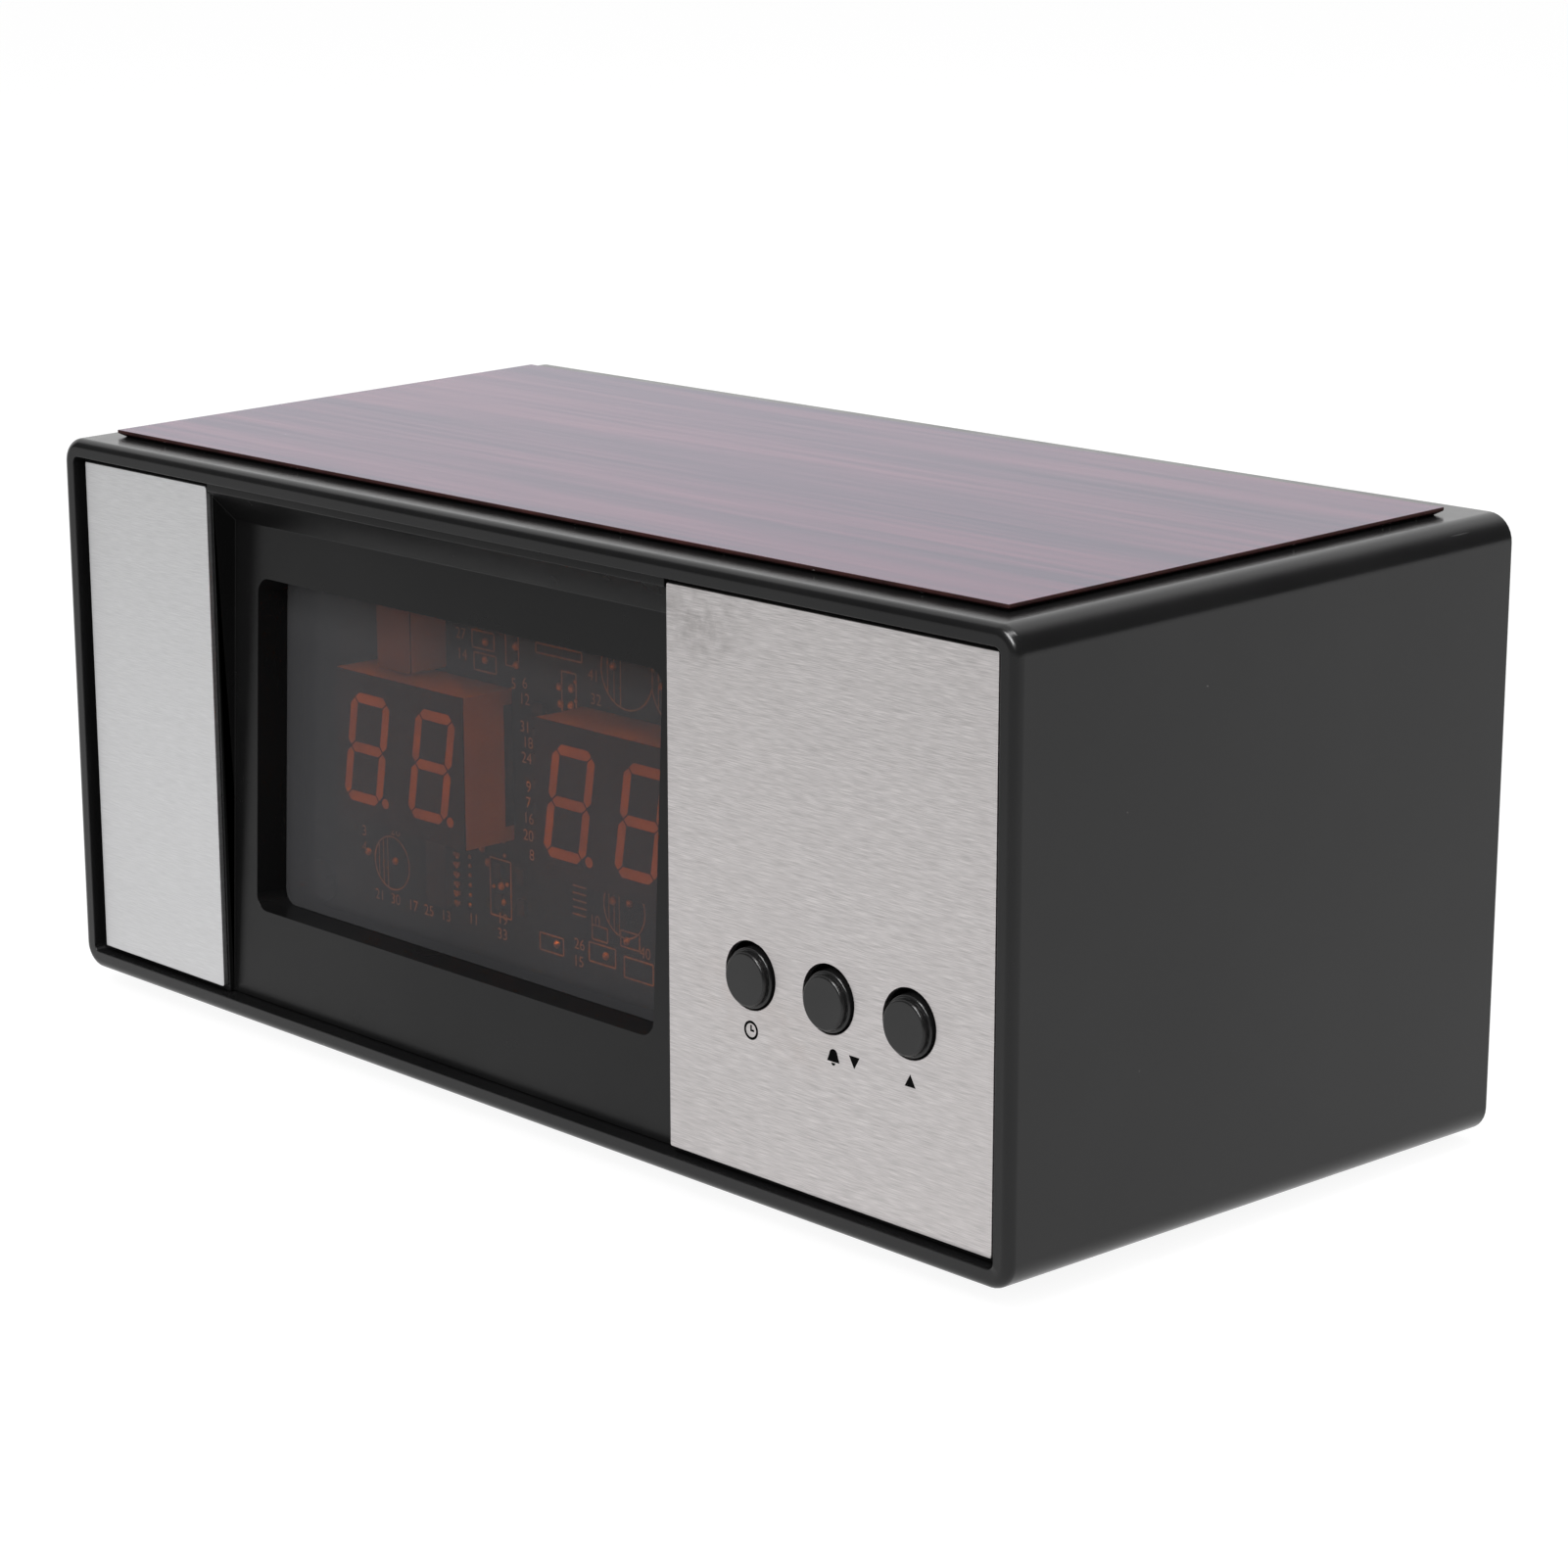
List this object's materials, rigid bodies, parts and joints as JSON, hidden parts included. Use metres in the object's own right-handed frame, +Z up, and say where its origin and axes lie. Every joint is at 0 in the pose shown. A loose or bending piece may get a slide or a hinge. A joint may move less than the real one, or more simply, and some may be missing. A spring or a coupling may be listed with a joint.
{
  "type": "digital alarm clock",
  "caption": "Box-shaped digital alarm clock with a wood-grain top panel, brushed trim plates, a recessed smoked display window and push buttons.",
  "frame": {"origin": "middle of the footprint, on the surface that the feet stand on", "axes": "+X along the width to the right seen from the front, +Y to the back (the display faces -Y), +Z up"},
  "size_m": [0.1702, 0.0812, 0.0758],
  "materials": {
    "case_plastic": "satin moulded black, finely grained",
    "bezel_plastic": "satin moulded black",
    "trim_metal": "brushed along the width",
    "smoked_window": "smoked orange-brown, polished",
    "veneer": "dark red-brown wood grain, satin lacquer",
    "panel_board": "painted black at the edges",
    "foot_rubber": "matt",
    "screw_steel": "zinc plated",
    "circuit_board": "solder resist",
    "led_housing": "pale moulding with a dark painted face",
    "led_segment": "milky cast resin",
    "tinned_metal": "tinned",
    "chip_black": "moulded black",
    "can_sleeve": "shrink sleeve",
    "pale_plastic": "moulded",
    "ribbon_insulation": "flat cable",
    "lead_insulation": "insulated wire",
    "button_plastic": "satin moulded black"
  },
  "bodies": {
    "clock": {"case_shell": "case_plastic", "front_bezel": "bezel_plastic", "left_trim_plate": "trim_metal", "right_trim_plate": "trim_metal", "display_window": "smoked_window", "top_board": "panel_board", "top_veneer": "veneer", "back_cover": "case_plastic", "rubber_feet": "foot_rubber", "back_cover_screws": "screw_steel", "bezel_screws": "screw_steel", "main_board": "circuit_board", "main_board_screws": "screw_steel", "left_digit_housing": "led_housing", "right_digit_housing": "led_housing", "left_digit_segments": "led_segment", "right_digit_segments": "led_segment", "digit_pins": "tinned_metal", "driver_chip": "chip_black", "driver_chip_legs": "tinned_metal", "controller_chip": "chip_black", "controller_chip_legs": "tinned_metal", "chip_resistors": "chip_black", "film_capacitor": "pale_plastic", "electrolytic_capacitors": "can_sleeve", "crystal_can": "tinned_metal", "buzzer": "chip_black", "coin_cell_holder": "chip_black", "coin_cell": "tinned_metal", "button_header": "pale_plastic", "ribbon_header": "pale_plastic", "button_ribbon": "ribbon_insulation", "button_board": "circuit_board", "button_board_screws": "screw_steel", "switch_bodies": "chip_black", "switch_covers": "tinned_metal", "switch_legs": "tinned_metal", "snap_domes": "tinned_metal", "power_socket": "chip_black", "socket_pin": "tinned_metal", "socket_nut": "screw_steel", "socket_terminals": "tinned_metal", "power_header": "pale_plastic", "power_leads": "lead_insulation"},
    "set_button": {"set_button_cap": "button_plastic", "set_switch_plunger": "chip_black"},
    "down_button": {"down_button_cap": "button_plastic", "down_switch_plunger": "chip_black"},
    "up_button": {"up_button_cap": "button_plastic", "up_switch_plunger": "chip_black"}
  },
  "joints": [
    {"name": "set_button_press", "type": "slide", "parent": "clock", "child": "set_button", "axis": [0, 1, 0], "range_m": [0, 0.0005], "stiffness_N_per_m": 2000},
    {"name": "down_button_press", "type": "slide", "parent": "clock", "child": "down_button", "axis": [0, 1, 0], "range_m": [0, 0.0005], "stiffness_N_per_m": 2000},
    {"name": "up_button_press", "type": "slide", "parent": "clock", "child": "up_button", "axis": [0, 1, 0], "range_m": [0, 0.0005], "stiffness_N_per_m": 2000}
  ]
}
